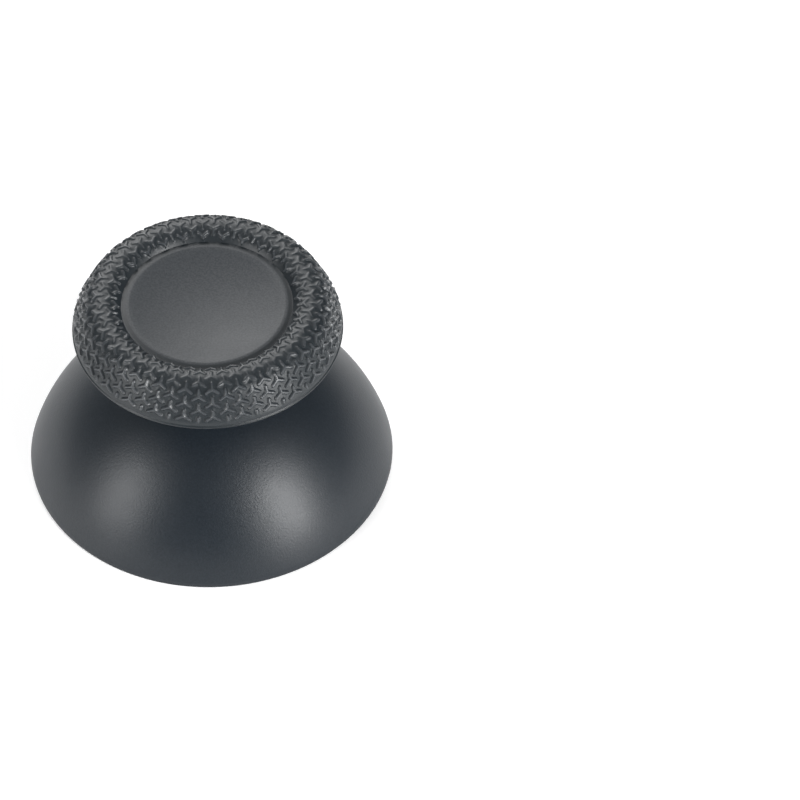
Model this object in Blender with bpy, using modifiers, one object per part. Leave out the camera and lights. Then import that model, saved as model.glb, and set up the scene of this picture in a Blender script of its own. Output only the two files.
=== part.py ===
"""Thumbstick cap of a game controller: a hard hollow stick under a soft head with a star-textured ring.

Units are metres, +Z is up, and the origin is the centre of the skirt's rim, which the cap rests on.
"""
import math

import bmesh
import bpy
from mathutils import Vector
from mathutils.geometry import delaunay_2d_cdt

# Skirt: a hollow slice of a ball that stands on its rim
RIM_RADIUS = 0.0134
RIM_LEAN = math.radians(15.7)
SKIRT_WALL = 0.0013
RIM_EDGE_ROUND = 0.00012

# Neck between the skirt and the head
NECK_RADIUS = 0.0043
NECK_FILLET = 0.0008

# Soft head, measured down from its crest: a lip, a straight flank, a round crest, a groove and a dish
CREST_HEIGHT = 0.0166
CREST_ROUND = 0.00161
FLANK_LEAN = math.radians(24.5)
FLANK_LENGTH = 0.0019
FLANK_INSET = 0.00008
LIP_RADIUS = 0.00988
LIP_HEIGHT = 0.00028
LIP_DEPTH = 0.0003
LIP_ROUND = 0.0003
UNDERSIDE_DROP = 0.00035
DISH_RADIUS = 0.00565
DISH_BELOW_CREST = 0.00055
DISH_SAG = 0.00065
GROOVE_DEPTH = 0.00009

# Hard head plate inside the soft head
SOFT_FLOOR = 0.0011
PLATE_RADIUS = 0.0078
PLATE_EDGE_ROUND = 0.00025
HOOK_THICKNESS = 0.00055
HOOK_REACH = 0.00115
SEAT_CLEARANCE = 0.0003

# Socket for the stick's shaft, under the skirt
BOSS_RADIUS = 0.0033
BOSS_END_HEIGHT = 0.0026
BOSS_FILLET = 0.0005
BOSS_CHAMFER = 0.00015
SOCKET_DIAMETER = 0.0041
SOCKET_ACROSS_FLATS = 0.0031
SOCKET_DEPTH = 0.0072
SOCKET_LEAD_IN = 0.0003

# Gusset ribs from the boss to the skirt
RIB_COUNT = 4
RIB_THICKNESS = 0.0008
RIB_SPAN = 0.0052
RIB_FOOT_HEIGHT = 0.0044
RIB_FIRST_ANGLE = math.radians(45)

# Three-armed stars of the grip texture, in staggered columns round the head
STARS_PER_ROW = 28
ROW_PITCH = 0.001045
ROWS_PER_COLUMN = 5
FIRST_ROW = 0.000605
TEXTURE_MARGIN = 0.0001
STAR_STEM = 0.00056
STAR_LEG = 0.0007
STAR_ARM_WIDTH = 0.00034
STAR_NOTCH = 0.0002
STAR_HEIGHT = 0.00015
STAR_END_SLOPE = 0.00013
PATTERN_RADIUS = 0.00935
PATTERN_TURN = math.radians(-90)
PATTERN_SPREAD = 1.2

# Fineness of the facets
BODY_SEGMENTS = 56
BALL_STEPS = 7
ROUND_STEPS = 3
DISH_STEPS = 3
PLATE_STEPS = 2
SOCKET_ARC_STEPS = 5
MERGE_DISTANCE = 0.000001
SHARP_ANGLE = math.radians(35)

# Sizes that follow from the ones above
SKIRT_BALL_RADIUS = RIM_RADIUS / math.cos(RIM_LEAN)
BALL_CENTRE_Z = RIM_EDGE_ROUND - RIM_RADIUS * math.tan(RIM_LEAN)
CREST_CENTRE_Z = CREST_HEIGHT - CREST_ROUND
FLANK_RADIUS = LIP_RADIUS - FLANK_INSET
FLANK_Z = CREST_CENTRE_Z + CREST_ROUND * math.sin(FLANK_LEAN) - FLANK_LENGTH * math.cos(FLANK_LEAN)
CREST_CENTRE_RADIUS = FLANK_RADIUS - FLANK_LENGTH * math.sin(FLANK_LEAN) - CREST_ROUND * math.cos(FLANK_LEAN)
LIP_Z = FLANK_Z - LIP_HEIGHT
LIP_BOTTOM_Z = LIP_Z - LIP_DEPTH
UNDERSIDE_Z = LIP_BOTTOM_Z - UNDERSIDE_DROP
DISH_EDGE_Z = CREST_HEIGHT - DISH_BELOW_CREST
DISH_CENTRE_Z = DISH_EDGE_Z - DISH_SAG
DISH_BALL_RADIUS = (DISH_RADIUS ** 2 + DISH_SAG ** 2) / (2 * DISH_SAG)
GROOVE_ANGLE = math.pi - math.asin((DISH_EDGE_Z - GROOVE_DEPTH - CREST_CENTRE_Z) / CREST_ROUND)
SLOPE_LENGTH = FLANK_LENGTH + CREST_ROUND * (GROOVE_ANGLE - FLANK_LEAN)
CAVITY_RADIUS = PLATE_RADIUS + SEAT_CLEARANCE
HOOK_RADIUS = CAVITY_RADIUS - HOOK_REACH
COLUMN_COUNT = 2 * STARS_PER_ROW
COLUMN_ANGLE = 2 * math.pi / COLUMN_COUNT
FLAT_EDGE_RADIUS = PATTERN_SPREAD * LIP_RADIUS


def arc(centre, radius, start, end, steps):
    """Points of a circular arc in the profile plane, both ends included."""
    points = []
    for step in range(steps + 1):
        angle = start + (end - start) * step / steps
        points.append((centre[0] + radius * math.cos(angle), centre[1] + radius * math.sin(angle)))
    return points


def dish_height(radius, drop=0.0):
    """Height of the thumb dish, or of a surface that lies a given drop below it, at a radius."""
    sag = DISH_BALL_RADIUS - math.sqrt(DISH_BALL_RADIUS ** 2 - radius ** 2)
    return DISH_CENTRE_Z - drop + sag


def ball_angle(radius, ball_radius):
    """Angle above the horizontal at which a ball round the skirt's centre reaches a radius."""
    return math.acos(radius / ball_radius)


def on_slope(distance):
    """Spot (radius, height) and outward direction at a distance up the flank and over the crest."""
    angle = FLANK_LEAN + max(distance - FLANK_LENGTH, 0.0) / CREST_ROUND
    outward = Vector((math.cos(angle), math.sin(angle)))
    down_flank = Vector((math.sin(FLANK_LEAN), -math.cos(FLANK_LEAN))) * max(FLANK_LENGTH - distance, 0.0)
    return Vector((CREST_CENTRE_RADIUS, CREST_CENTRE_Z)) + outward * CREST_ROUND + down_flank, outward


def collection(name):
    """A new collection in the scene."""
    made = bpy.data.collections.new(name)
    bpy.context.scene.collection.children.link(made)
    return made


def add_object(name, bm, group):
    """Wraps a bmesh as an object in a collection."""
    mesh = bpy.data.meshes.new(name)
    bm.to_mesh(mesh)
    bm.free()
    made = bpy.data.objects.new(name, mesh)
    group.objects.link(made)
    return made


def add_cutter(name, bm, group):
    """An object that only shapes another one by a Boolean."""
    made = add_object(name, bm, group)
    made.hide_render = True
    made.display_type = 'WIRE'
    return made


def turned(name, profile, segments, group):
    """A solid turned round +Z from a profile that runs down its outer side from the axis to the axis."""
    bm = bmesh.new()
    verts = [bm.verts.new((radius, 0.0, height)) for radius, height in profile]
    for start, end in zip(verts, verts[1:]):
        bm.edges.new((start, end))
    made = add_object(name, bm, group)
    screw = made.modifiers.new("turn", 'SCREW')
    screw.axis = 'Z'
    screw.angle = 2 * math.pi
    screw.steps = segments
    screw.render_steps = segments
    screw.use_merge_vertices = True
    screw.merge_threshold = MERGE_DISTANCE
    screw.use_smooth_shade = True
    return made


def combine(target, tool, operation):
    """Adds or cuts a tool with the exact Boolean."""
    boolean = target.modifiers.new(tool.name, 'BOOLEAN')
    boolean.operation = operation
    boolean.solver = 'EXACT'
    boolean.object = tool


def material(name, colour, roughness):
    """A plain Principled finish."""
    made = bpy.data.materials.new(name)
    made.use_nodes = True
    shader = made.node_tree.nodes["Principled BSDF"]
    shader.inputs["Base Color"].default_value = (*colour, 1.0)
    shader.inputs["Roughness"].default_value = roughness
    shader.inputs["Metallic"].default_value = 0.0
    made.diffuse_color = (*colour, 1.0)
    return made


def stick_profile():
    """Section of the hard stick, from the top of its head plate round the skirt to the boss end."""
    plate_top = SOFT_FLOOR + SEAT_CLEARANCE
    plate_bottom = UNDERSIDE_Z + HOOK_THICKNESS + SEAT_CLEARANCE
    plate_flat = PLATE_RADIUS - PLATE_EDGE_ROUND
    profile = []
    for step in range(PLATE_STEPS + 1):
        radius = plate_flat * step / PLATE_STEPS
        profile.append((radius, dish_height(radius, plate_top)))
    profile += [(PLATE_RADIUS, dish_height(PLATE_RADIUS, plate_top) - PLATE_EDGE_ROUND),
                (PLATE_RADIUS, plate_bottom),
                (HOOK_RADIUS - SEAT_CLEARANCE, plate_bottom),
                (HOOK_RADIUS - SEAT_CLEARANCE, UNDERSIDE_Z)]

    # Neck, with a fillet under the head and one onto the ball
    upper_centre = (NECK_RADIUS + NECK_FILLET, UNDERSIDE_Z - NECK_FILLET)
    profile += arc(upper_centre, NECK_FILLET, math.pi / 2, math.pi, ROUND_STEPS)
    reach = SKIRT_BALL_RADIUS + NECK_FILLET
    lower_angle = math.acos((NECK_RADIUS + NECK_FILLET) / reach)
    lower_centre = (NECK_RADIUS + NECK_FILLET, BALL_CENTRE_Z + reach * math.sin(lower_angle))
    profile += arc(lower_centre, NECK_FILLET, math.pi, math.pi + lower_angle, ROUND_STEPS)

    # Outer ball down to the rim, the flat rim, and the inner ball up to the boss
    ball_centre = (0.0, BALL_CENTRE_Z)
    rim_angle = math.asin((RIM_EDGE_ROUND - BALL_CENTRE_Z) / SKIRT_BALL_RADIUS)
    profile += arc(ball_centre, SKIRT_BALL_RADIUS, lower_angle, rim_angle, BALL_STEPS)[1:]
    inner_ball = SKIRT_BALL_RADIUS - SKIRT_WALL
    inner_rim = math.sqrt(inner_ball ** 2 - BALL_CENTRE_Z ** 2)
    profile += [(RIM_RADIUS - RIM_EDGE_ROUND, 0.0), (inner_rim + RIM_EDGE_ROUND, 0.0)]
    inner_rim_angle = math.asin((RIM_EDGE_ROUND - BALL_CENTRE_Z) / inner_ball)
    inner_reach = inner_ball - BOSS_FILLET
    boss_angle = math.acos((BOSS_RADIUS + BOSS_FILLET) / inner_reach)
    profile += arc(ball_centre, inner_ball, inner_rim_angle, boss_angle, BALL_STEPS)
    boss_centre = (BOSS_RADIUS + BOSS_FILLET, BALL_CENTRE_Z + inner_reach * math.sin(boss_angle))
    profile += arc(boss_centre, BOSS_FILLET, boss_angle, math.pi, ROUND_STEPS)[1:]

    # Boss down to its end face
    profile += [(BOSS_RADIUS, BOSS_END_HEIGHT + BOSS_CHAMFER),
                (BOSS_RADIUS - BOSS_CHAMFER, BOSS_END_HEIGHT),
                (0.0, BOSS_END_HEIGHT)]
    return profile


def socket_tool():
    """A round shaft with two flats, flared where it enters the boss."""
    radius = SOCKET_DIAMETER / 2
    flat_angle = math.asin(SOCKET_ACROSS_FLATS / SOCKET_DIAMETER)
    outline = arc((0.0, 0.0), radius, -flat_angle, flat_angle, SOCKET_ARC_STEPS)
    outline += arc((0.0, 0.0), radius, math.pi - flat_angle, math.pi + flat_angle, SOCKET_ARC_STEPS)
    bm = bmesh.new()
    corners = [bm.verts.new((x, y, BOSS_END_HEIGHT + SOCKET_LEAD_IN)) for x, y in outline]
    bm.faces.new(corners)
    face = bm.faces[:]
    for rise, growth in ((SOCKET_DEPTH - SOCKET_LEAD_IN, 0.0), (-2 * SOCKET_LEAD_IN, 2 * SOCKET_LEAD_IN)):
        grown = bmesh.ops.extrude_face_region(bm, geom=face, use_keep_orig=True)["geom"]
        moved = [item for item in grown if isinstance(item, bmesh.types.BMVert)]
        scale = 1 + growth / radius
        bmesh.ops.scale(bm, verts=moved, vec=(scale, scale, 1.0))
        bmesh.ops.translate(bm, verts=moved, vec=(0.0, 0.0, rise))
    bmesh.ops.delete(bm, geom=face, context='FACES_ONLY')
    bmesh.ops.recalc_face_normals(bm, faces=bm.faces)
    return bm


def rib_tool():
    """The gusset ribs: thin plates from inside the boss to inside the skirt's wall."""
    ball = SKIRT_BALL_RADIUS - SKIRT_WALL / 2
    start = BOSS_RADIUS - RIB_THICKNESS / 2
    end = BOSS_RADIUS + RIB_SPAN
    wall_angle = ball_angle(end, ball)
    top_angle = ball_angle(start, ball)
    outline = [(start, RIB_FOOT_HEIGHT),
               (end - RIB_THICKNESS / 2, BALL_CENTRE_Z + ball * math.sin(wall_angle) - SKIRT_WALL),
               (end, BALL_CENTRE_Z + ball * math.sin(wall_angle)),
               (start, BALL_CENTRE_Z + ball * math.sin(top_angle))]
    bm = bmesh.new()
    for number in range(RIB_COUNT):
        angle = RIB_FIRST_ANGLE + number * 2 * math.pi / RIB_COUNT
        along = Vector((math.cos(angle), math.sin(angle), 0.0))
        across = Vector((-math.sin(angle), math.cos(angle), 0.0))
        corners = [bm.verts.new(along * radius - across * RIB_THICKNESS / 2 + Vector((0.0, 0.0, height)))
                   for radius, height in outline]
        plate = bm.faces.new(corners)
        grown = bmesh.ops.extrude_face_region(bm, geom=[plate], use_keep_orig=True)["geom"]
        moved = [item for item in grown if isinstance(item, bmesh.types.BMVert)]
        bmesh.ops.translate(bm, verts=moved, vec=across * RIB_THICKNESS)
    bmesh.ops.recalc_face_normals(bm, faces=bm.faces)
    return bm


def flat(angle, reach):
    """A point of the pattern plane at an angle and distance from the origin."""
    return Vector((reach * math.cos(angle), reach * math.sin(angle), 0.0))


def star_shape(stem_length):
    """Corners of one star, lying flat with its stem along +y, and the creases between them."""
    top = Vector((0.0, 0.0, STAR_HEIGHT))
    corners = [top]
    creases = []
    outline = []
    for degrees, length in ((90, stem_length), (210, STAR_LEG), (330, STAR_LEG)):
        angle = math.radians(degrees)
        side = flat(angle + math.pi / 2, STAR_ARM_WIDTH / 2)
        first = len(corners)
        corners += [flat(angle, length) - side,
                    flat(angle, length) + side,
                    flat(angle + math.pi / 3, STAR_NOTCH),
                    flat(angle, length - STAR_END_SLOPE) + top]
        right, left, notch, ridge = range(first, first + 4)
        outline += [right, left, notch]
        creases += [(0, ridge), (0, notch), (ridge, right), (ridge, left)]
    creases += zip(outline, outline[1:] + outline[:1])
    return corners, creases


def stem_shape(foot):
    """Corners and creases of a lone stem that starts a given distance below its star's centre."""
    top = Vector((0.0, 0.0, STAR_HEIGHT))
    side = Vector((STAR_ARM_WIDTH / 2, 0.0, 0.0))
    low = Vector((0.0, -foot, 0.0))
    high = Vector((0.0, STAR_STEM, 0.0))
    slope = Vector((0.0, STAR_END_SLOPE, 0.0))
    corners = [low - side, low + side, high + side, high - side, low + slope + top, high - slope + top]
    creases = [(0, 1), (1, 2), (2, 3), (3, 0), (4, 5), (4, 0), (4, 1), (5, 2), (5, 3)]
    return corners, creases


def pattern():
    """The whole ring's corners as (turn, distance up the slope, height), and its creases."""
    corners = []
    creases = []

    def add(shape, turn, centre):
        first = len(corners)
        spots, pairs = shape
        corners.extend((turn + spot.x / PATTERN_RADIUS, centre + spot.y, spot.z) for spot in spots)
        creases.extend((first + start, first + end) for start, end in pairs)

    cut_row = FIRST_ROW - ROW_PITCH / 2
    stem = stem_shape(cut_row - TEXTURE_MARGIN)
    for column in range(COLUMN_COUNT):
        turn = PATTERN_TURN + column * COLUMN_ANGLE
        staggered = column % 2
        for row in range(ROWS_PER_COLUMN - staggered):
            centre = FIRST_ROW + (row + staggered / 2) * ROW_PITCH
            room = SLOPE_LENGTH - TEXTURE_MARGIN - centre
            add(star_shape(min(STAR_STEM, room)), turn, centre)
        if staggered:
            add(stem, turn, cut_row)

    # The two rings that bound the texture
    for distance in (0.0, SLOPE_LENGTH):
        first = len(corners)
        for column in range(COLUMN_COUNT):
            corners.append((PATTERN_TURN + (column + 0.5) * COLUMN_ANGLE, distance, 0.0))
            creases.append((first + column, first + (column + 1) % COLUMN_COUNT))
    return corners, creases


def textured_sheet(bm):
    """The textured surface: the pattern is drawn flat round the origin, filled, and lifted onto the slope."""
    corners, creases = pattern()
    drawn = [flat(turn, FLAT_EDGE_RADIUS - distance).to_2d() for turn, distance, _ in corners]
    places, _, faces, sources, _, _ = delaunay_2d_cdt(drawn, creases, [], 0, MERGE_DISTANCE)
    verts = []
    for place, source in zip(places, sources):
        height = corners[source[0]][2] if source else 0.0
        spot, outward = on_slope(FLAT_EDGE_RADIUS - place.length)
        radius = spot.x + outward.x * height
        around = place.normalized() * radius
        verts.append(bm.verts.new((around.x, around.y, spot.y + outward.y * height)))
    hole = FLAT_EDGE_RADIUS - SLOPE_LENGTH
    for face in faces:
        middle = sum((places[index] for index in face), Vector((0.0, 0.0))) / len(face)
        if middle.length > hole:
            bm.faces.new([verts[index] for index in face])


def grow_rings(bm, edges, rings):
    """Extrudes a round edge loop through a list of (radius, height) rings; a radius of 0 closes it."""
    for radius, height in rings:
        grown = bmesh.ops.extrude_edge_only(bm, edges=edges)["geom"]
        verts = [item for item in grown if isinstance(item, bmesh.types.BMVert)]
        edges = [item for item in grown if isinstance(item, bmesh.types.BMEdge)]
        for vert in verts:
            around = vert.co.to_2d().normalized() * radius
            vert.co = Vector((around.x, around.y, height))
        if radius == 0.0:
            bmesh.ops.pointmerge(bm, verts=verts, merge_co=Vector((0.0, 0.0, height)))


def head_under_rings():
    """Rings from the lip round under the head, up through the hook and in along the ceiling over the plate."""
    lip_centre = (LIP_RADIUS - LIP_ROUND, LIP_BOTTOM_Z + LIP_ROUND)
    hook_top = UNDERSIDE_Z + HOOK_THICKNESS
    rings = [(LIP_RADIUS, LIP_Z)]
    rings += arc(lip_centre, LIP_ROUND, 0.0, -math.pi / 2, ROUND_STEPS)
    rings += [(HOOK_RADIUS, UNDERSIDE_Z),
              (HOOK_RADIUS, hook_top),
              (CAVITY_RADIUS, hook_top)]
    for step in range(PLATE_STEPS, -1, -1):
        radius = CAVITY_RADIUS * step / PLATE_STEPS
        rings.append((radius, dish_height(radius, SOFT_FLOOR)))
    return rings


def soft_head(group):
    """The soft head: a textured ring, a smooth lip, a thumb dish, and a hollow that grips the plate."""
    bm = bmesh.new()
    textured_sheet(bm)
    open_edges = [edge for edge in bm.edges if edge.is_boundary]
    middle_radius = (LIP_RADIUS + DISH_RADIUS) / 2
    outer = [edge for edge in open_edges if edge.verts[0].co.to_2d().length > middle_radius]
    inner = [edge for edge in open_edges if edge.verts[0].co.to_2d().length < middle_radius]
    grow_rings(bm, outer, head_under_rings())
    dish_radii = [DISH_RADIUS * step / DISH_STEPS for step in range(DISH_STEPS, -1, -1)]
    grow_rings(bm, inner, [(radius, dish_height(radius)) for radius in dish_radii])
    bmesh.ops.recalc_face_normals(bm, faces=bm.faces)
    head = add_object("grip_cap", bm, group)
    head.data.shade_smooth()
    head.data.set_sharp_from_angle(angle=SHARP_ANGLE)
    return head


def build():
    """Builds the two pieces of the cap."""
    for existing in list(bpy.data.objects):
        bpy.data.objects.remove(existing)
    cap = collection("thumbstick_cap")
    tools = collection("shaping_tools")

    stick = turned("stick_body", stick_profile(), BODY_SEGMENTS, cap)
    combine(stick, add_cutter("ribs", rib_tool(), tools), 'UNION')
    combine(stick, add_cutter("socket", socket_tool(), tools), 'DIFFERENCE')
    stick.data.materials.append(material("stick_plastic", (0.012, 0.018, 0.025), 0.4))

    head = soft_head(cap)
    head.data.materials.append(material("grip_rubber", (0.036, 0.04, 0.043), 0.55))


build()
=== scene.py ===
# %% [markdown]
# # A thumbstick cap for a game controller
#
# The real object is the mushroom-shaped cap that a thumb pushes about on a game controller.
# It is moulded in two shots: a hard, hollow stick with a ball-shaped skirt, and a soft head
# that is gripped by its ring of small three-armed stars. This lesson dresses the two CAD
# pieces with finer meshes and with finishes, and sets them on a white studio floor.
#
# Everything is in metres and +Z is up.

# %% Load the frame
import math

import bmesh
import bpy
from mathutils import Matrix, Vector
from mathutils.geometry import delaunay_2d_cdt


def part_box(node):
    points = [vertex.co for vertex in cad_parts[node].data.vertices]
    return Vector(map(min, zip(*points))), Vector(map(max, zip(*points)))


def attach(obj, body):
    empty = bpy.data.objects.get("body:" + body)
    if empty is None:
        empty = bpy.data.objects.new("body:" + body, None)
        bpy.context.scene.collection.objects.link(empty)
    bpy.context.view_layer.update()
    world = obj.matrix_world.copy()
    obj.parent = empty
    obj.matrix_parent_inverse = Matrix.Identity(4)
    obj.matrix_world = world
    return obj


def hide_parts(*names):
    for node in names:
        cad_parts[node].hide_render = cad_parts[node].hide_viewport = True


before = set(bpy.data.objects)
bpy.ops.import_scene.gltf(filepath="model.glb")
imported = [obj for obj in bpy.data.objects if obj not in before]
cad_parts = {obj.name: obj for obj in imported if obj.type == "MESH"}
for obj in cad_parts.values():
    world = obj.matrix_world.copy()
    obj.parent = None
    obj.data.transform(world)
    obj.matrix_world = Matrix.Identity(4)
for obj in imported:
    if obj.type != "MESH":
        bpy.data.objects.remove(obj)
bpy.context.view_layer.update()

# %% [markdown]
# ## The sizes that both pieces share
#
# The cap's sizes are named once, in metres, and repeat those of the CAD model, so that each
# finer piece lies where its solid lies. Heights are worked out from the top of the solid.

# %% Sizes
MM = 0.001
CREST_HEIGHT = 16.6 * MM
STAR_HEIGHT = 0.15 * MM
RIM_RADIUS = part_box("stick_body")[1][0]
RIM_LEAN = math.radians(15.7)
SKIRT_WALL = 1.3 * MM
RIM_EDGE_ROUND = 0.12 * MM
NECK_RADIUS = 4.3 * MM
NECK_FILLET = 0.8 * MM

CREST_ROUND = 1.61 * MM
FLANK_LEAN = math.radians(24.5)
FLANK_LENGTH = 1.9 * MM
FLANK_INSET = 0.08 * MM
LIP_RADIUS = 9.88 * MM
LIP_HEIGHT = 0.28 * MM
LIP_DEPTH = 0.3 * MM
LIP_ROUND = 0.3 * MM
UNDERSIDE_DROP = 0.35 * MM
DISH_RADIUS = 5.65 * MM
DISH_BELOW_CREST = 0.55 * MM
DISH_SAG = 0.65 * MM
GROOVE_DEPTH = 0.08 * MM

SOFT_FLOOR = 1.1 * MM
PLATE_RADIUS = 7.8 * MM
PLATE_EDGE_ROUND = 0.25 * MM
HOOK_THICKNESS = 0.55 * MM
HOOK_REACH = 1.15 * MM
SEAT_CLEARANCE = 0.3 * MM

BOSS_RADIUS = 3.3 * MM
BOSS_END_HEIGHT = 2.6 * MM
BOSS_FILLET = 0.5 * MM
BOSS_CHAMFER = 0.15 * MM
SOCKET_DIAMETER = 4.1 * MM
SOCKET_ACROSS_FLATS = 3.1 * MM
SOCKET_DEPTH = 7.2 * MM
SOCKET_LEAD_IN = 0.3 * MM
RIB_COUNT = 4
RIB_THICKNESS = 0.8 * MM
RIB_SPAN = 5.2 * MM
RIB_FOOT_HEIGHT = 4.4 * MM
RIB_EDGE_ROUND = 0.06 * MM

SKIRT_BALL_RADIUS = RIM_RADIUS / math.cos(RIM_LEAN)
BALL_CENTRE_Z = RIM_EDGE_ROUND - RIM_RADIUS * math.tan(RIM_LEAN)
CREST_CENTRE_Z = CREST_HEIGHT - CREST_ROUND
FLANK_RADIUS = LIP_RADIUS - FLANK_INSET
FLANK_Z = CREST_CENTRE_Z + CREST_ROUND * math.sin(FLANK_LEAN) - FLANK_LENGTH * math.cos(FLANK_LEAN)
FLANK_TOP_RADIUS = FLANK_RADIUS - FLANK_LENGTH * math.sin(FLANK_LEAN)
CREST_CENTRE_RADIUS = FLANK_TOP_RADIUS - CREST_ROUND * math.cos(FLANK_LEAN)
LIP_Z = FLANK_Z - LIP_HEIGHT
LIP_BOTTOM_Z = LIP_Z - LIP_DEPTH
UNDERSIDE_Z = LIP_BOTTOM_Z - UNDERSIDE_DROP
DISH_EDGE_Z = CREST_HEIGHT - DISH_BELOW_CREST
DISH_CENTRE_Z = DISH_EDGE_Z - DISH_SAG
DISH_BALL_RADIUS = (DISH_RADIUS ** 2 + DISH_SAG ** 2) / (2 * DISH_SAG)
GROOVE_Z = DISH_EDGE_Z - GROOVE_DEPTH
GROOVE_ANGLE = math.pi - math.asin((GROOVE_Z - CREST_CENTRE_Z) / CREST_ROUND)
SLOPE_LENGTH = FLANK_LENGTH + CREST_ROUND * (GROOVE_ANGLE - FLANK_LEAN)
CAVITY_RADIUS = PLATE_RADIUS + SEAT_CLEARANCE
HOOK_RADIUS = CAVITY_RADIUS - HOOK_REACH
print("lip at", round(LIP_Z / MM, 2), "mm, ball centre at", round(BALL_CENTRE_Z / MM, 3), "mm")

# %% [markdown]
# ## The head's section
#
# Seen in section, the soft head is a fat ring round a shallow thumb dish: a straight flank
# leans in above a smooth lip, one arc carries it over the crest, and it dives into a narrow
# groove round the dish. A distance measured up the flank and over the crest gives a place and
# the direction that points outwards there. That lets the texture be laid out flat first, as
# if it were a strip of tape, and wrapped on afterwards.

# %% Curves of the section
def arc(centre, radius, start, end, steps):
    """Points of a circular arc in the section plane, both ends included."""
    angles = [start + (end - start) * step / steps for step in range(steps + 1)]
    return [(centre[0] + radius * math.cos(angle), centre[1] + radius * math.sin(angle))
            for angle in angles]


def dish_height(radius, drop=0.0):
    """Height of the thumb dish, or of a surface a given drop below it, at a radius."""
    return DISH_CENTRE_Z - drop + DISH_BALL_RADIUS - math.sqrt(DISH_BALL_RADIUS ** 2 - radius ** 2)


def on_slope(distance):
    """Spot (radius, height) and outward direction at a distance up the flank and over the crest."""
    angle = FLANK_LEAN + max(distance - FLANK_LENGTH, 0.0) / CREST_ROUND
    outward = Vector((math.cos(angle), math.sin(angle)))
    below_crest = max(FLANK_LENGTH - distance, 0.0)
    down_flank = Vector((math.sin(FLANK_LEAN), -math.cos(FLANK_LEAN))) * below_crest
    return Vector((CREST_CENTRE_RADIUS, CREST_CENTRE_Z)) + outward * CREST_ROUND + down_flank, outward


def bend(start, first_pull, second_pull, end, share):
    """A smooth curve from start to end that leaves towards one pull and arrives from the other."""
    rest = 1 - share
    weights = (rest ** 3, 3 * rest ** 2 * share, 3 * rest * share ** 2, share ** 3)
    points = (start, first_pull, second_pull, end)
    return (sum(weight * point[0] for weight, point in zip(weights, points)),
            sum(weight * point[1] for weight, point in zip(weights, points)))


print("slope from flank to groove:", round(SLOPE_LENGTH / MM, 3), "mm")

# %% [markdown]
# ## The star texture, drawn flat
#
# The grip is a net of raised three-armed stars in staggered columns, 28 to a row. They are
# cut into the mould by spark erosion, so on the real part their arms are low ridges with a
# narrow flat top and soft feet. On the crest, where the thumb rubs, they are lower. A bump map
# could fake them, but their tops show on the outline of the ring, so they are made as
# geometry.
#
# Every column is the mirror image of itself and of the next one but one, so only the tape
# between two neighbouring column lines is drawn. Each star is a set of outlines, one inside
# the other, round its three centre lines. A Delaunay fill joins them to loose points between
# the stars, which keep the curved ground smooth.

# %% Sizes of the texture
STARS_PER_ROW = 28
ROW_PITCH = 1.045 * MM
ROWS_PER_COLUMN = 5
FIRST_ROW = 0.605 * MM
TEXTURE_MARGIN = 0.1 * MM
STAR_STEM = 0.43 * MM
STAR_LEG = 0.57 * MM
STAR_HALF_WIDTH = 0.17 * MM
STAR_TOP_SHARE = 0.25
STAR_CONTOURS = (0.25, 0.5, 0.75, 1.0)
STAR_END_STEPS = 3
PATTERN_RADIUS = 9.35 * MM
PATTERN_TURN = math.radians(-90)
COLUMN_ANGLE = math.pi / STARS_PER_ROW
COLUMN_WIDTH = COLUMN_ANGLE * PATTERN_RADIUS
RING_STEPS_PER_COLUMN = 5
GROUND_SPACING = 0.15 * MM
GROUND_CLEARANCE = 0.06 * MM
CREST_AT = FLANK_LENGTH + CREST_ROUND * (math.pi / 2 - FLANK_LEAN)
CREST_SOFTENING = 0.82
CREST_SPREAD = 0.75 * MM
JOIN_DISTANCE = 0.001 * MM
print("column width:", round(COLUMN_WIDTH / MM, 3), "mm")

# %% Centre lines of the stars
arms = []
stars = []
for column, shift, rows in ((-COLUMN_WIDTH, 0.0, ROWS_PER_COLUMN), (0.0, 0.5, ROWS_PER_COLUMN - 1)):
    for row in range(rows):
        centre = Vector((column, FIRST_ROW + (row + shift) * ROW_PITCH))
        room = SLOPE_LENGTH - TEXTURE_MARGIN - STAR_HALF_WIDTH - centre.y
        star_arms = ((90, min(STAR_STEM, room)), (210, STAR_LEG), (330, STAR_LEG))
        stars.append((centre, star_arms))
        for degrees, length in star_arms:
            along = Vector((math.cos(math.radians(degrees)), math.sin(math.radians(degrees))))
            arms.append((centre, along, length))

# A cut-off star leaves only its stem at the lower edge
stem_foot = Vector((0.0, TEXTURE_MARGIN + STAR_HALF_WIDTH))
stem_length = FIRST_ROW - ROW_PITCH / 2 + STAR_STEM - stem_foot.y
arms.append((stem_foot, Vector((0.0, 1.0)), stem_length))
print("stars on the tape:", len(stars), "arms:", len(arms))


# %% Height of the texture at a spot of the tape
def arm_distance(spot):
    """Distance from a spot to the nearest centre line."""
    nearest = 1.0
    for foot, along, length in arms:
        reach = min(max((spot - foot).dot(along), 0.0), length)
        nearest = min(nearest, (spot - foot - along * reach).length)
    return nearest


def ridge_share(spot):
    """Height share of the flat-topped ridge: 1 on its top, 0 on the ground."""
    share = (arm_distance(spot) / STAR_HALF_WIDTH - STAR_TOP_SHARE) / (1 - STAR_TOP_SHARE)
    return 0.5 + 0.5 * math.cos(math.pi * min(max(share, 0.0), 1.0))


def relief(distance):
    """Full height of a star at a distance up the slope; on the crest the stars are lower."""
    return STAR_HEIGHT * (1 - CREST_SOFTENING * math.exp(-((distance - CREST_AT) / CREST_SPREAD) ** 2))


# %% Outlines of the stars
def bent(degrees, reach):
    """A step of the tape's plane, by its angle and length."""
    return Vector((math.cos(math.radians(degrees)), math.sin(math.radians(degrees)))) * reach


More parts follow.
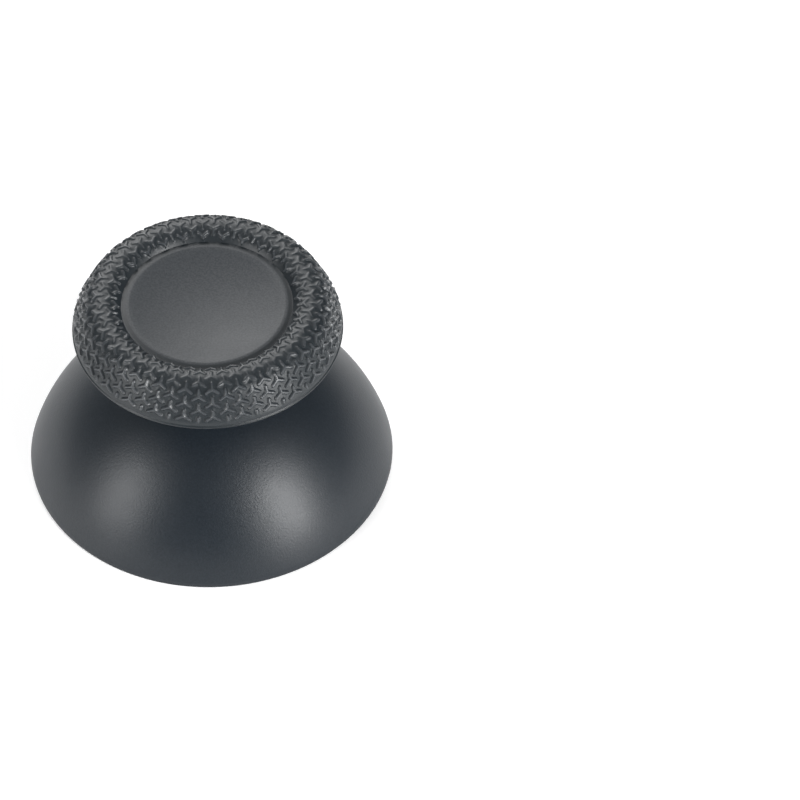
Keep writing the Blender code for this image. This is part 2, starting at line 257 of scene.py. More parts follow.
def star_outline(centre, star_arms, width):
    """One outline that keeps an even distance from the three centre lines."""
    outline = []
    for degrees, length in star_arms:
        outline.append(centre + bent(degrees, length / 2) + bent(degrees - 90, width))
        for step in range(STAR_END_STEPS + 1):
            turn = degrees - 90 + 180 * step / STAR_END_STEPS
            outline.append(centre + bent(degrees, length) + bent(turn, width))
        outline.append(centre + bent(degrees, length / 2) + bent(degrees + 90, width))
        outline.append(centre + bent(degrees + 60, width / math.sin(math.radians(60))))
    return outline


def stem_outline(width):
    """The outline of the lone stem."""
    outline = []
    for middle, degrees in ((stem_foot, 180), (stem_foot + Vector((0.0, stem_length)), 0)):
        for step in range(STAR_END_STEPS + 1):
            outline.append(middle + bent(degrees + 180 * step / STAR_END_STEPS, width))
    return outline


# %% Fill the tape
spots = []
creases = []


def draw(points, closed):
    """Adds a chain of points and the creases between them."""
    first = len(spots)
    spots.extend(points)
    creases.extend((first + index, first + index + 1) for index in range(len(points) - 1))
    if closed:
        creases.append((first + len(points) - 1, first))


for centre, star_arms in stars:
    for share in STAR_CONTOURS:
        draw(star_outline(centre, star_arms, share * STAR_HALF_WIDTH), True)
    for degrees, length in star_arms:
        draw([centre, centre + bent(degrees, length / 2), centre + bent(degrees, length)], False)
for share in STAR_CONTOURS:
    draw(stem_outline(share * STAR_HALF_WIDTH), True)

# The tape's own edges, evenly divided along its ends
for edge_y in (0.0, SLOPE_LENGTH):
    draw([Vector((-COLUMN_WIDTH * step / RING_STEPS_PER_COLUMN, edge_y))
          for step in range(RING_STEPS_PER_COLUMN + 1)], False)
for edge_x in (-COLUMN_WIDTH, 0.0):
    draw([Vector((edge_x, 0.0)), Vector((edge_x, SLOPE_LENGTH))], False)

# Ground points in a brick pattern
ground_rows = round(SLOPE_LENGTH / GROUND_SPACING)
ground_columns = round(COLUMN_WIDTH / GROUND_SPACING)
for row in range(1, ground_rows):
    y = SLOPE_LENGTH * row / ground_rows
    for column in range(ground_columns + 1):
        x = -COLUMN_WIDTH * (column + 0.5 * (row % 2)) / ground_columns
        spot = Vector((max(x, -COLUMN_WIDTH), y))
        if arm_distance(spot) > STAR_HALF_WIDTH + GROUND_CLEARANCE:
            spots.append(spot)

places, _, faces, _, _, _ = delaunay_2d_cdt(spots, creases, [], 0, JOIN_DISTANCE)
print("tape drawn with", len(places), "points and", len(faces), "faces")


# %% [markdown]
# ## The ring
#
# The tape is lifted onto the slope, mirrored across its edge, and spun round the axis, which
# closes the ring. The lip, the hollow under the head and the dish are then grown from the
# ring's two open edges, loop by loop, so the whole head is one watertight skin. The edge of
# the dish rolls over into the groove, which gives the dark line round the dish.

# %% Lift, mirror and spin
head_mesh = bmesh.new()
ridge_layer = head_mesh.verts.layers.float.new("ridge")
lifted = []
for place in places:
    # Points beside the mirror line are put on it
    x = min(max(place.x, -COLUMN_WIDTH), 0.0)
    x = 0.0 if x > -JOIN_DISTANCE else x
    share = ridge_share(Vector((x, place.y)))
    height = relief(place.y) * share
    spot, outward = on_slope(place.y)
    spot = spot + outward * height
    turn = x / PATTERN_RADIUS
    vert = head_mesh.verts.new((spot.x * math.cos(turn), spot.x * math.sin(turn), spot.y))
    vert[ridge_layer] = height / STAR_HEIGHT
    lifted.append(vert)
for face in faces:
    middle = sum(places[index].x for index in face) / len(face)
    if -COLUMN_WIDTH < middle < 0.0:
        head_mesh.faces.new([lifted[index] for index in face])
stray = [vert for vert in head_mesh.verts if not vert.link_faces]
bmesh.ops.delete(head_mesh, geom=stray, context='VERTS')

bmesh.ops.mirror(head_mesh, geom=head_mesh.verts[:] + head_mesh.edges[:] + head_mesh.faces[:],
                 matrix=Matrix.Identity(4), merge_dist=JOIN_DISTANCE, axis='Y')
bmesh.ops.spin(head_mesh, geom=head_mesh.verts[:] + head_mesh.edges[:] + head_mesh.faces[:],
               cent=(0, 0, 0), axis=(0, 0, 1), steps=STARS_PER_ROW - 1,
               angle=2 * math.pi * (STARS_PER_ROW - 1) / STARS_PER_ROW, use_duplicate=True)
bmesh.ops.rotate(head_mesh, verts=head_mesh.verts, cent=(0, 0, 0),
                 matrix=Matrix.Rotation(PATTERN_TURN + COLUMN_ANGLE, 3, 'Z'))
bmesh.ops.remove_doubles(head_mesh, verts=head_mesh.verts, dist=JOIN_DISTANCE)
open_edges = [edge for edge in head_mesh.edges if edge.is_boundary]
print("ring:", len(head_mesh.faces), "faces,", len(open_edges), "open edges")


# %% Grow the lip, the hollow and the dish
def grow_rings(bm, edges, rings):
    """Extrudes a round loop of edges through (radius, height) rings; a radius of 0 closes it."""
    for radius, height in rings:
        grown = bmesh.ops.extrude_edge_only(bm, edges=edges)["geom"]
        verts = [item for item in grown if isinstance(item, bmesh.types.BMVert)]
        edges = [item for item in grown if isinstance(item, bmesh.types.BMEdge)]
        for vert in verts:
            around = vert.co.to_2d().normalized() * radius
            vert.co = Vector((around.x, around.y, height))
        if radius == 0.0:
            bmesh.ops.pointmerge(bm, verts=verts, merge_co=Vector((0.0, 0.0, height)))


ROUND_STEPS = 8
SMALL_ROUND_STEPS = 4
DISH_STEPS = 14
CEILING_STEPS = 5
EDGE_STEPS = 8
EDGE_REACH = 0.14 * MM
FLOOR_REACH = 0.12 * MM
MATT_REACH = 0.28 * MM
HOOK_ROUND = 0.08 * MM
hook_top = UNDERSIDE_Z + HOOK_THICKNESS
under = [(FLANK_RADIUS, LIP_Z + FLANK_INSET)]
under += arc((LIP_RADIUS - LIP_ROUND, LIP_BOTTOM_Z + LIP_ROUND), LIP_ROUND,
             0.0, -math.pi / 2, ROUND_STEPS)
under += arc((HOOK_RADIUS + HOOK_ROUND, UNDERSIDE_Z + HOOK_ROUND), HOOK_ROUND,
             -math.pi / 2, -math.pi, SMALL_ROUND_STEPS)
under += arc((HOOK_RADIUS + HOOK_ROUND, hook_top - HOOK_ROUND), HOOK_ROUND,
             math.pi, math.pi / 2, SMALL_ROUND_STEPS)
under += [(CAVITY_RADIUS, hook_top)]
for step in range(CEILING_STEPS, -1, -1):
    ceiling_radius = CAVITY_RADIUS * step / CEILING_STEPS
    under.append((ceiling_radius, dish_height(ceiling_radius, SOFT_FLOOR)))

# The dish's edge rolls over softly into the groove
dish_lean = math.asin(DISH_RADIUS / DISH_BALL_RADIUS)
edge_pull = (DISH_RADIUS + EDGE_REACH * math.cos(dish_lean),
             DISH_EDGE_Z + EDGE_REACH * math.sin(dish_lean))
groove_radius = CREST_CENTRE_RADIUS + CREST_ROUND * math.cos(GROOVE_ANGLE)
dish = [bend((groove_radius, GROOVE_Z), (groove_radius - FLOOR_REACH, GROOVE_Z), edge_pull,
             (DISH_RADIUS, DISH_EDGE_Z), step / EDGE_STEPS) for step in range(1, EDGE_STEPS + 1)]
for step in range(DISH_STEPS - 1, -1, -1):
    dish_radius = DISH_RADIUS * step / DISH_STEPS
    dish.append((dish_radius, dish_height(dish_radius)))

middle_radius = (LIP_RADIUS + DISH_RADIUS) / 2
outer_loop = [edge for edge in open_edges if edge.verts[0].co.to_2d().length > middle_radius]
inner_loop = [edge for edge in open_edges if edge.verts[0].co.to_2d().length < middle_radius]
grow_rings(head_mesh, outer_loop, under)
grow_rings(head_mesh, inner_loop, dish)
bmesh.ops.remove_doubles(head_mesh, verts=head_mesh.verts, dist=JOIN_DISTANCE / 2)
bmesh.ops.recalc_face_normals(head_mesh, faces=head_mesh.faces)

# The dish and its rolled edge are marked, so that their finish can differ from the ring's
ceiling = dish_height(0.0, SOFT_FLOOR / 2)
dish_layer = head_mesh.verts.layers.float.new("dish")
for vert in head_mesh.verts:
    radius = vert.co.to_2d().length
    if radius < DISH_RADIUS + MATT_REACH and vert.co.z > ceiling:
        vert[dish_layer] = 1.0
print("head:", len(head_mesh.faces), "faces, open edges:",
      sum(1 for edge in head_mesh.edges if not edge.is_manifold))


# %% [markdown]
# ## Placing a finished piece
#
# A new piece stands for its CAD solid: the solid stays in the physics model, and the piece
# shows in its place. Smooth shading needs a few creases kept sharp, which an angle picks.

# %% A helper for finished pieces
SHARP_ANGLE = math.radians(40)


def finished(name, bm, node):
    """Makes an object of a bmesh that shows instead of a CAD node."""
    mesh = bpy.data.meshes.new(name)
    bm.to_mesh(mesh)
    bm.free()
    mesh.shade_smooth()
    mesh.set_sharp_from_angle(angle=SHARP_ANGLE)
    piece = bpy.data.objects.new(name, mesh)
    bpy.context.scene.collection.objects.link(piece)
    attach(piece, "root")
    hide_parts(node)
    triangles = sum(len(face.vertices) - 2 for face in mesh.polygons)
    print(name, "has", triangles, "triangles")
    return piece


head = finished("soft_head", head_mesh, "grip_cap")

# %% [markdown]
# ## The hard stick
#
# The stick is a body of revolution with a keyed socket and four gusset ribs under its skirt,
# which stiffen the boss that takes the controller's shaft. A lathe-like spin of its section
# gives the round shape, and two exact Booleans add the ribs and cut the socket, as the two
# halves of the mould would form them.

# %% The stick's section
SPIN_STEPS = 224
BALL_STEPS = 36
PLATE_STEPS = 8
plate_top = SOFT_FLOOR + SEAT_CLEARANCE
plate_bottom = UNDERSIDE_Z + HOOK_THICKNESS + SEAT_CLEARANCE
plate_flat = PLATE_RADIUS - PLATE_EDGE_ROUND
section = [(plate_flat * step / PLATE_STEPS, dish_height(plate_flat * step / PLATE_STEPS, plate_top))
           for step in range(PLATE_STEPS + 1)]
section += [(PLATE_RADIUS, dish_height(PLATE_RADIUS, plate_top) - PLATE_EDGE_ROUND),
            (PLATE_RADIUS, plate_bottom),
            (HOOK_RADIUS - SEAT_CLEARANCE, plate_bottom),
            (HOOK_RADIUS - SEAT_CLEARANCE, UNDERSIDE_Z)]

# Neck, with a fillet at each end
section += arc((NECK_RADIUS + NECK_FILLET, UNDERSIDE_Z - NECK_FILLET), NECK_FILLET,
               math.pi / 2, math.pi, ROUND_STEPS)
reach = SKIRT_BALL_RADIUS + NECK_FILLET
neck_angle = math.acos((NECK_RADIUS + NECK_FILLET) / reach)
section += arc((NECK_RADIUS + NECK_FILLET, BALL_CENTRE_Z + reach * math.sin(neck_angle)), NECK_FILLET,
               math.pi, math.pi + neck_angle, ROUND_STEPS)

# Outer ball, rounded rim, inner ball
ball_centre = (0.0, BALL_CENTRE_Z)
rim_angle = math.asin((RIM_EDGE_ROUND - BALL_CENTRE_Z) / SKIRT_BALL_RADIUS)
section += arc(ball_centre, SKIRT_BALL_RADIUS, neck_angle, rim_angle, BALL_STEPS)[1:]
inner_ball = SKIRT_BALL_RADIUS - SKIRT_WALL
inner_rim = math.sqrt(inner_ball ** 2 - BALL_CENTRE_Z ** 2)
section += arc((RIM_RADIUS - RIM_EDGE_ROUND, RIM_EDGE_ROUND), RIM_EDGE_ROUND,
               0.0, -math.pi / 2, SMALL_ROUND_STEPS)[1:]
inner_rim_angle = math.asin((RIM_EDGE_ROUND - BALL_CENTRE_Z) / inner_ball)
boss_reach = inner_ball - BOSS_FILLET
boss_angle = math.acos((BOSS_RADIUS + BOSS_FILLET) / boss_reach)
section += [(inner_rim + RIM_EDGE_ROUND, 0.0)]
section += arc(ball_centre, inner_ball, inner_rim_angle, boss_angle, BALL_STEPS)
section += arc((BOSS_RADIUS + BOSS_FILLET, BALL_CENTRE_Z + boss_reach * math.sin(boss_angle)),
               BOSS_FILLET, boss_angle, math.pi, ROUND_STEPS)[1:]
section += [(BOSS_RADIUS, BOSS_END_HEIGHT + BOSS_CHAMFER),
            (BOSS_RADIUS - BOSS_CHAMFER, BOSS_END_HEIGHT),
            (0.0, BOSS_END_HEIGHT)]
print("stick section:", len(section), "points")

# %% Spin the section
stick_mesh = bmesh.new()
section_verts = [stick_mesh.verts.new((radius, 0.0, height)) for radius, height in section]
section_edges = [stick_mesh.edges.new(pair) for pair in zip(section_verts, section_verts[1:])]
bmesh.ops.spin(stick_mesh, geom=section_verts + section_edges, cent=(0, 0, 0), axis=(0, 0, 1),
               angle=2 * math.pi, steps=SPIN_STEPS, use_merge=True)
bmesh.ops.remove_doubles(stick_mesh, verts=stick_mesh.verts, dist=JOIN_DISTANCE)
bmesh.ops.recalc_face_normals(stick_mesh, faces=stick_mesh.faces)
print("stick:", len(stick_mesh.faces), "faces")

# %% The ribs
rib_ball = SKIRT_BALL_RADIUS - SKIRT_WALL / 2
rib_start = BOSS_RADIUS - RIB_THICKNESS / 2
rib_end = BOSS_RADIUS + RIB_SPAN


def on_ball(radius):
    """Height of the middle of the skirt's wall at a radius."""
    return BALL_CENTRE_Z + math.sqrt(rib_ball ** 2 - radius ** 2)


rib_mesh = bmesh.new()
rib_outline = [(rib_start, RIB_FOOT_HEIGHT),
               (rib_end - RIB_THICKNESS / 2, on_ball(rib_end) - SKIRT_WALL),
               (rib_end, on_ball(rib_end)),
               (rib_start, on_ball(rib_start))]
rib_face = rib_mesh.faces.new([rib_mesh.verts.new((radius, -RIB_THICKNESS / 2, height))
                               for radius, height in rib_outline])
rib_grown = bmesh.ops.extrude_face_region(rib_mesh, geom=[rib_face], use_keep_orig=True)["geom"]
bmesh.ops.translate(rib_mesh, vec=(0.0, RIB_THICKNESS, 0.0),
                    verts=[item for item in rib_grown if isinstance(item, bmesh.types.BMVert)])
bmesh.ops.recalc_face_normals(rib_mesh, faces=rib_mesh.faces)
# Only the long edges that show below the skirt's wall are rounded
lower_edges = [edge for edge in rib_mesh.edges
               if abs(edge.verts[0].co.y - edge.verts[1].co.y) < JOIN_DISTANCE
               and max(vert.co.z for vert in edge.verts) < on_ball(rib_end) - SKIRT_WALL / 2]
bmesh.ops.bevel(rib_mesh, geom=lower_edges, offset=RIB_EDGE_ROUND, offset_type='OFFSET',
                segments=2, profile=0.5, affect='EDGES', material=-1)
bmesh.ops.rotate(rib_mesh, verts=rib_mesh.verts, cent=(0, 0, 0),
                 matrix=Matrix.Rotation(math.pi / RIB_COUNT, 3, 'Z'))
bmesh.ops.spin(rib_mesh, geom=rib_mesh.verts[:] + rib_mesh.edges[:] + rib_mesh.faces[:],
               cent=(0, 0, 0), axis=(0, 0, 1), steps=RIB_COUNT - 1,
               angle=2 * math.pi * (RIB_COUNT - 1) / RIB_COUNT, use_duplicate=True)
print("ribs:", len(rib_mesh.faces), "faces")

# %% The socket
SOCKET_ARC_STEPS = 16
flat_angle = math.asin(SOCKET_ACROSS_FLATS / SOCKET_DIAMETER)
socket_outline = arc((0.0, 0.0), SOCKET_DIAMETER / 2, -flat_angle, flat_angle, SOCKET_ARC_STEPS)
socket_outline += arc((0.0, 0.0), SOCKET_DIAMETER / 2, math.pi - flat_angle, math.pi + flat_angle,
                      SOCKET_ARC_STEPS)
socket_mesh = bmesh.new()
socket_face = [socket_mesh.faces.new([socket_mesh.verts.new((x, y, BOSS_END_HEIGHT + SOCKET_LEAD_IN))
                                      for x, y in socket_outline])]
# Straight up to its end, and flared down through the boss's end face
for rise, growth in ((SOCKET_DEPTH - SOCKET_LEAD_IN, 0.0), (-2 * SOCKET_LEAD_IN, 2 * SOCKET_LEAD_IN)):
    grown = bmesh.ops.extrude_face_region(socket_mesh, geom=socket_face, use_keep_orig=True)["geom"]
    moved = [item for item in grown if isinstance(item, bmesh.types.BMVert)]
    scale = 1 + growth / (SOCKET_DIAMETER / 2)
    bmesh.ops.scale(socket_mesh, verts=moved, vec=(scale, scale, 1.0))
    bmesh.ops.translate(socket_mesh, verts=moved, vec=(0.0, 0.0, rise))
bmesh.ops.delete(socket_mesh, geom=socket_face, context='FACES_ONLY')
bmesh.ops.recalc_face_normals(socket_mesh, faces=socket_mesh.faces)
print("socket:", len(socket_mesh.faces), "faces")


# %% Join the ribs and cut the socket
def joined(bm, steps):
    """Applies exact Booleans with (tool, operation) pairs and returns the resulting bmesh."""
    def wrap(shape):
        """A passing object that the modifiers can work on."""
        mesh = bpy.data.meshes.new("shaping")
        shape.to_mesh(mesh)
        shape.free()
        made = bpy.data.objects.new("shaping", mesh)
        bpy.context.scene.collection.objects.link(made)
        return made

    target = wrap(bm)
    tools = [wrap(tool) for tool, _ in steps]
    for tool, (_, operation) in zip(tools, steps):
        cut = target.modifiers.new("cut", 'BOOLEAN')
        cut.operation = operation
        cut.solver = 'EXACT'
        cut.object = tool
    evaluated = target.evaluated_get(bpy.context.evaluated_depsgraph_get())
    result = bmesh.new()
    result.from_mesh(evaluated.data)
    for used in [target] + tools:
        bpy.data.objects.remove(used)
    return result


stick_mesh = joined(stick_mesh, ((rib_mesh, 'UNION'), (socket_mesh, 'DIFFERENCE')))
bmesh.ops.remove_doubles(stick_mesh, verts=stick_mesh.verts, dist=JOIN_DISTANCE)
print("open edges of the stick:", sum(1 for edge in stick_mesh.edges if not edge.is_manifold))
stick = finished("hollow_stick", stick_mesh, "stick_body")

# %% [markdown]
# ## Moulded grain
#
# Neither surface is polished: the mould is etched, which leaves a fine pebble all over, with
# slower, broader differences from flow and handling. Both finishes use it at their own scale,
# so it is a node group. It gives a height for the bump and two masks, and leaves the shader
# itself to each material.

# %% The grain group
def grain_group():
    """Pebbled grain as a height and a speckle mask, and a slow drift for roughness."""
    group = bpy.data.node_groups.new("moulded_grain", 'ShaderNodeTree')
    sockets = group.interface
    size = sockets.new_socket(name="Grain per metre", in_out='INPUT', socket_type='NodeSocketFloat')
    size.default_value = 8000.0
    broad = sockets.new_socket(name="Drift per metre", in_out='INPUT', socket_type='NodeSocketFloat')
    broad.default_value = 300.0
    sockets.new_socket(name="Height", in_out='OUTPUT', socket_type='NodeSocketFloat')
    sockets.new_socket(name="Speckle", in_out='OUTPUT', socket_type='NodeSocketFloat')
    sockets.new_socket(name="Drift", in_out='OUTPUT', socket_type='NodeSocketFloat')
    nodes, links = group.nodes, group.links
    given = nodes.new('NodeGroupInput')
    result = nodes.new('NodeGroupOutput')
    place = nodes.new('ShaderNodeTexCoord')

    pebbles = nodes.new('ShaderNodeTexNoise')
    pebbles.inputs["Detail"].default_value = 2.5
    pebbles.inputs["Roughness"].default_value = 0.6
    links.new(place.outputs["Object"], pebbles.inputs["Vector"])
    links.new(given.outputs["Grain per metre"], pebbles.inputs["Scale"])

    drift = nodes.new('ShaderNodeTexNoise')
    drift.inputs["Detail"].default_value = 3.0
    links.new(place.outputs["Object"], drift.inputs["Vector"])
    links.new(given.outputs["Drift per metre"], drift.inputs["Scale"])

    speckle = nodes.new('ShaderNodeMapRange')
    speckle.inputs["From Min"].default_value = 0.35
    speckle.inputs["From Max"].default_value = 0.65
    links.new(pebbles.outputs["Fac"], speckle.inputs["Value"])
    links.new(pebbles.outputs["Fac"], result.inputs["Height"])
    links.new(speckle.outputs["Result"], result.inputs["Speckle"])
    links.new(drift.outputs["Fac"], result.inputs["Drift"])
    return group


grain = grain_group()
print("grain group outputs:", [item.name for item in grain.interface.items_tree])


# %% Helpers for a finish
def finish(name):
    """A new material with its node tree and its shader."""
    made = bpy.data.materials.new(name)
    made.use_nodes = True
    return made, made.node_tree, made.node_tree.nodes["Principled BSDF"]


def blend_colour(tree, mask, low, high):
    """A colour that runs from low to high with a mask; each is a colour or another node's output."""
    mix = tree.nodes.new('ShaderNodeMix')
    mix.data_type = 'RGBA'
    for colour, socket in ((low, mix.inputs["A"]), (high, mix.inputs["B"])):
        if isinstance(colour, tuple):
            socket.default_value = (*colour, 1.0)
        else:
            tree.links.new(colour, socket)
    tree.links.new(mask, mix.inputs["Factor"])
    return mix.outputs["Result"]


def blend_value(tree, mask, low, high):
    """A value that runs from low to high with a mask."""
    mix = tree.nodes.new('ShaderNodeMix')
    mix.data_type = 'FLOAT'
    tree.links.new(low, mix.inputs["A"])
    tree.links.new(high, mix.inputs["B"])
    tree.links.new(mask, mix.inputs["Factor"])
    return mix.outputs["Result"]


def mapped(tree, value, low, high):
    """A 0 to 1 value laid between two numbers."""
    node = tree.nodes.new('ShaderNodeMapRange')
    node.inputs["To Min"].default_value = low
    node.inputs["To Max"].default_value = high
    tree.links.new(value, node.inputs["Value"])
    return node.outputs["Result"]


def add_bump(tree, shader, height, distance):
    """Bumps the shader's normal by a height that is one distance tall."""
    bump = tree.nodes.new('ShaderNodeBump')
    bump.inputs["Distance"].default_value = distance
    tree.links.new(height, bump.inputs["Height"])
    tree.links.new(bump.outputs["Normal"], shader.inputs["Normal"])


# %% [markdown]
# ## Finish of the hard stick
#
# The skirt is black plastic with a blue cast and a satin, spark-eroded surface: two soft
# windows of light show on it, and their edges break up into fine grain. The colour is nearly
# even, so most of the look comes from roughness and a shallow bump.

# %% Stick finish
GRAIN_PER_METRE = 6500.0
STICK_GRAIN_HEIGHT = 0.012 * MM
stick_finish, tree, shader = finish("satin_black_plastic")
stick_grain = tree.nodes.new('ShaderNodeGroup')
stick_grain.node_tree = grain
stick_grain.inputs["Grain per metre"].default_value = GRAIN_PER_METRE
stick_grain.inputs["Drift per metre"].default_value = 350.0
stick_tone = blend_colour(tree, stick_grain.outputs["Speckle"],
                          (0.0065, 0.0110, 0.0165), (0.0105, 0.0160, 0.0225))
tree.links.new(stick_tone, shader.inputs["Base Color"])
tree.links.new(mapped(tree, stick_grain.outputs["Drift"], 0.36, 0.44), shader.inputs["Roughness"])
add_bump(tree, shader, stick_grain.outputs["Height"], STICK_GRAIN_HEIGHT)
stick.data.materials.append(stick_finish)
print("stick finish has", len(tree.nodes), "nodes")

# %% [markdown]
# ## Finish of the soft head
#
# The head is a soft rubber-like plastic. The tops of its stars are rubbed smoother than the
# ground between them, so they glint. They are also painted paler, a painted highlight on the
# ridges, while the dish is etched matt for grip. Two marks on the mesh steer that: how high
# a spot is on a star, and whether it lies in the dish.

# %% Head finish
HEAD_GRAIN_HEIGHT = 0.01 * MM
head_finish, tree, shader = finish("soft_grip_rubber")
head_grain = tree.nodes.new('ShaderNodeGroup')
head_grain.node_tree = grain
head_grain.inputs["Grain per metre"].default_value = GRAIN_PER_METRE
head_grain.inputs["Drift per metre"].default_value = 400.0


def mark(tree, name):
    """A value that is stored on the mesh."""
    node = tree.nodes.new('ShaderNodeAttribute')
    node.attribute_name = name
    return node.outputs["Fac"]


in_dish = mark(tree, "dish")
on_ridge = mark(tree, "ridge")
# The star tops are painted paler than the ground between them: a painted highlight for the glint on the
# ridges.
ring_tone_with_painted_glint = blend_colour(tree, on_ridge, (0.012, 0.017, 0.021), (0.056, 0.062, 0.068))
dish_tone = blend_colour(tree, head_grain.outputs["Speckle"],
                         (0.025, 0.030, 0.035), (0.043, 0.048, 0.054))
tree.links.new(blend_colour(tree, in_dish, ring_tone_with_painted_glint, dish_tone), shader.inputs["Base Color"])
drift = head_grain.outputs["Drift"]
ring_rough = blend_value(tree, on_ridge, mapped(tree, drift, 0.38, 0.48), mapped(tree, drift, 0.22, 0.3))
dish_rough = mapped(tree, drift, 0.46, 0.56)
tree.links.new(blend_value(tree, in_dish, ring_rough, dish_rough), shader.inputs["Roughness"])
add_bump(tree, shader, head_grain.outputs["Height"], HEAD_GRAIN_HEIGHT)
head.data.materials.append(head_finish)
print("head finish has", len(tree.nodes), "nodes")

# %% [markdown]
# ## White floor
#
# The cap stands on a plain white sweep. The floor is an ordinary matt white that keeps the
# cap's shadow, with a little glow of its own that only the camera and mirror-like rays see,
# so that it reads as white without more light on the cap. Far from the cap, where the lamps
# don't reach, the camera sees the glow rise to full white.

# %% Floor
FLOOR_HALF = 3.0
floor_mesh = bmesh.new()
bmesh.ops.create_grid(floor_mesh, x_segments=1, y_segments=1, size=FLOOR_HALF)
floor_data = bpy.data.meshes.new("floor")
floor_mesh.to_mesh(floor_data)
floor_mesh.free()
floor = bpy.data.objects.new("floor", floor_data)
bpy.context.scene.collection.objects.link(floor)

# %% Floor finish
FLOOR_GLOW = 0.38
FAR_START = 0.15
FAR_END = 0.6
floor_finish, tree, shader = finish("white_sweep")
shader.inputs["Base Color"].default_value = (0.85, 0.85, 0.85, 1.0)
shader.inputs["Roughness"].default_value = 0.9
shader.inputs["Specular IOR Level"].default_value = 0.0
path = tree.nodes.new('ShaderNodeLightPath')
seen = tree.nodes.new('ShaderNodeMath')
seen.operation = 'ADD'
seen.use_clamp = True
tree.links.new(path.outputs["Is Camera Ray"], seen.inputs[0])
tree.links.new(path.outputs["Is Glossy Ray"], seen.inputs[1])
place = tree.nodes.new('ShaderNodeTexCoord')
distance = tree.nodes.new('ShaderNodeVectorMath')
distance.operation = 'LENGTH'
tree.links.new(place.outputs["Object"], distance.inputs[0])
far_glow = tree.nodes.new('ShaderNodeMapRange')
far_glow.inputs["From Min"].default_value = FAR_START
far_glow.inputs["From Max"].default_value = FAR_END
far_glow.inputs["To Max"].default_value = 1.0 - FLOOR_GLOW
tree.links.new(distance.outputs["Value"], far_glow.inputs["Value"])
far_seen = tree.nodes.new('ShaderNodeMath')
far_seen.operation = 'MULTIPLY'
tree.links.new(far_glow.outputs["Result"], far_seen.inputs[0])
tree.links.new(path.outputs["Is Camera Ray"], far_seen.inputs[1])
glow = tree.nodes.new('ShaderNodeMath')
glow.operation = 'MULTIPLY_ADD'
glow.inputs[1].default_value = FLOOR_GLOW
tree.links.new(seen.outputs[0], glow.inputs[0])
tree.links.new(far_seen.outputs[0], glow.inputs[2])
emission = tree.nodes.new('ShaderNodeEmission')
tree.links.new(glow.outputs[0], emission.inputs["Strength"])
both = tree.nodes.new('ShaderNodeAddShader')
tree.links.new(shader.outputs["BSDF"], both.inputs[0])
tree.links.new(emission.outputs["Emission"], both.inputs[1])
tree.links.new(both.outputs[0], tree.nodes["Material Output"].inputs["Surface"])
floor.data.materials.append(floor_finish)
print("floor finish has", len(tree.nodes), "nodes")

# %% [markdown]
# ## Surroundings
#
# The studio around the cap is plain. Its light on the cap is kept low, so that the lamps
# shape the form, while the camera, and what is seen through clear things, gets full white.

# %% World
world = bpy.data.worlds.new("studio")
world.use_nodes = True
bpy.context.scene.world = world
tree = world.node_tree
background = tree.nodes["Background"]
background.inputs["Color"].default_value = (1.0, 1.0, 1.0, 1.0)
path = tree.nodes.new('ShaderNodeLightPath')
seen = tree.nodes.new('ShaderNodeMath')
seen.operation = 'ADD'
seen.use_clamp = True
tree.links.new(path.outputs["Is Camera Ray"], seen.inputs[0])
tree.links.new(path.outputs["Is Transmission Ray"], seen.inputs[1])
WORLD_LIGHT = 0.155
strength = tree.nodes.new('ShaderNodeMapRange')
strength.inputs["To Min"].default_value = WORLD_LIGHT
strength.inputs["To Max"].default_value = 1.0
tree.links.new(seen.outputs[0], strength.inputs["Value"])
tree.links.new(strength.outputs["Result"], background.inputs["Strength"])
print("world light:", WORLD_LIGHT)

# %% [markdown]
# ## Camera
#
# The picture is taken with a long lens from 48 degrees above the table, a touch to one side
# of the front column of stars, with the camera tipped slightly. The cap lies left of the
# middle of the frame, so the camera turns a little away from it instead of shifting the lens.

# %% Camera
AIM = Vector((0.0, 0.0, 8.0 * MM))
CAMERA_DISTANCE = 0.6
CAMERA_TURN = math.radians(-91.04)
CAMERA_RISE = math.radians(48.05)
CAMERA_ROLL = math.radians(1.9)
PAN_RIGHT = math.radians(1.336)
PAN_DOWN = math.radians(0.152)
LENS = 367.7


def direction(turn, rise):
    """Unit vector from the cap towards a compass turn and a rise above the floor."""
    return Vector((math.cos(turn) * math.cos(rise), math.sin(turn) * math.cos(rise), math.sin(rise)))


to_camera = direction(CAMERA_TURN, CAMERA_RISE)
level_right = Vector((-math.sin(CAMERA_TURN), math.cos(CAMERA_TURN), 0.0))
level_up = to_camera.cross(level_right)
right = level_right * math.cos(CAMERA_ROLL) - level_up * math.sin(CAMERA_ROLL)
up = level_right * math.sin(CAMERA_ROLL) + level_up * math.cos(CAMERA_ROLL)
back = (to_camera - right * math.tan(PAN_RIGHT) + up * math.tan(PAN_DOWN)).normalized()
across = up.cross(back).normalized()
over = back.cross(across)

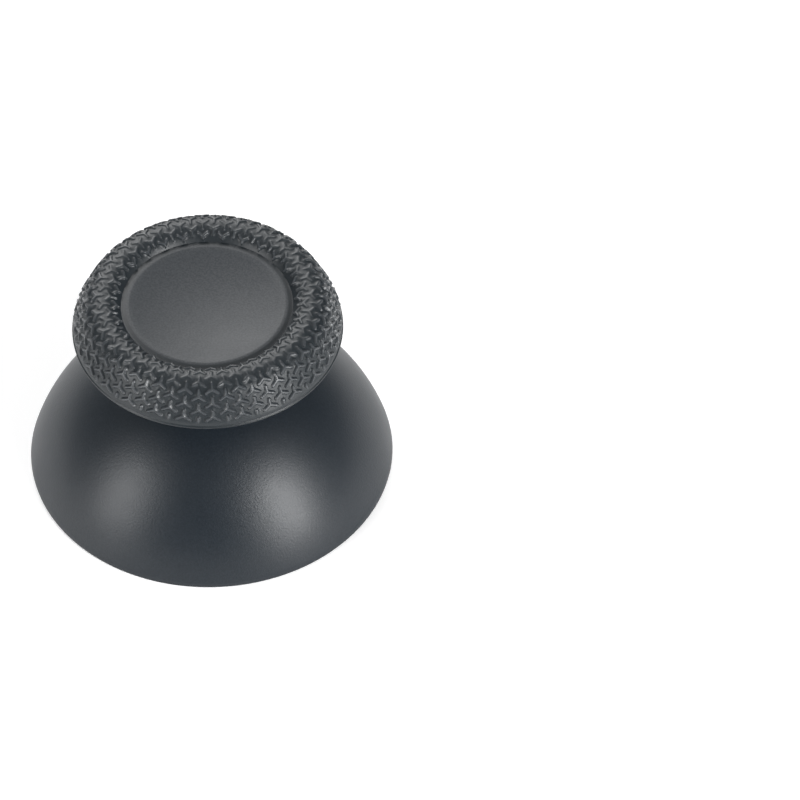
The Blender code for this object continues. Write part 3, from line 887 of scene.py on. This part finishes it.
camera_data = bpy.data.cameras.new("camera")
camera_data.lens = LENS
camera_data.clip_start = 0.01
camera = bpy.data.objects.new("camera", camera_data)
camera.matrix_world = Matrix.Translation(AIM + to_camera * CAMERA_DISTANCE) @ Matrix(
    (across, over, back)).transposed().to_4x4()
bpy.context.scene.collection.objects.link(camera)
bpy.context.scene.camera = camera
print("camera at", [round(value, 4) for value in camera.matrix_world.translation])

# %% [markdown]
# ## Studio lamps
#
# Two soft boxes stand left and right of the camera. They give the two windows of light on the
# skirt, the right one brighter. A panel stands behind the cap, a little to its left and about
# 30 degrees up. The dish mirrors it, more towards its front, and so does the crest. A faint
# box overhead fills what is left.

# %% Lamps
def beside_camera(sideways, upwards):
    """Unit vector from the cap towards a spot that is so many degrees beside and above the camera."""
    side = math.radians(sideways)
    rise = math.radians(upwards)
    level = to_camera * math.cos(side) + level_right * math.sin(side)
    return level * math.cos(rise) + level_up * math.sin(rise)


def soft_box(name, towards, distance, width, height, power):
    """A rectangular area lamp that faces the cap from a direction."""
    data = bpy.data.lights.new(name, 'AREA')
    data.shape = 'RECTANGLE'
    data.size = width
    data.size_y = height
    data.energy = power
    lamp = bpy.data.objects.new(name, data)
    lamp.visible_camera = False
    turned = towards.to_track_quat('Z', 'Y').to_matrix().to_4x4()
    lamp.matrix_world = Matrix.Translation(AIM + towards * distance) @ turned
    bpy.context.scene.collection.objects.link(lamp)
    print(name, "at", [round(value, 3) for value in lamp.matrix_world.translation])


soft_box("right_box", beside_camera(45.7, -13), 0.6, 0.22, 0.42, 4.2)
soft_box("left_box", beside_camera(-56, -4.5), 0.6, 0.24, 0.42, 2.3)
soft_box("overhead_box", beside_camera(0, 45), 0.7, 0.6, 0.6, 0.4)
behind = direction(math.radians(100), math.radians(31))
soft_box("back_panel", behind, 1.2, 0.75, 0.8, 9.4)

# %% [markdown]
# ## Colour view
#
# The render's colours are shown through the Standard view transform. The dressed cap
# has to fill the same box as the CAD model.

# %% Colour view
bpy.context.scene.view_settings.view_transform = 'Standard'
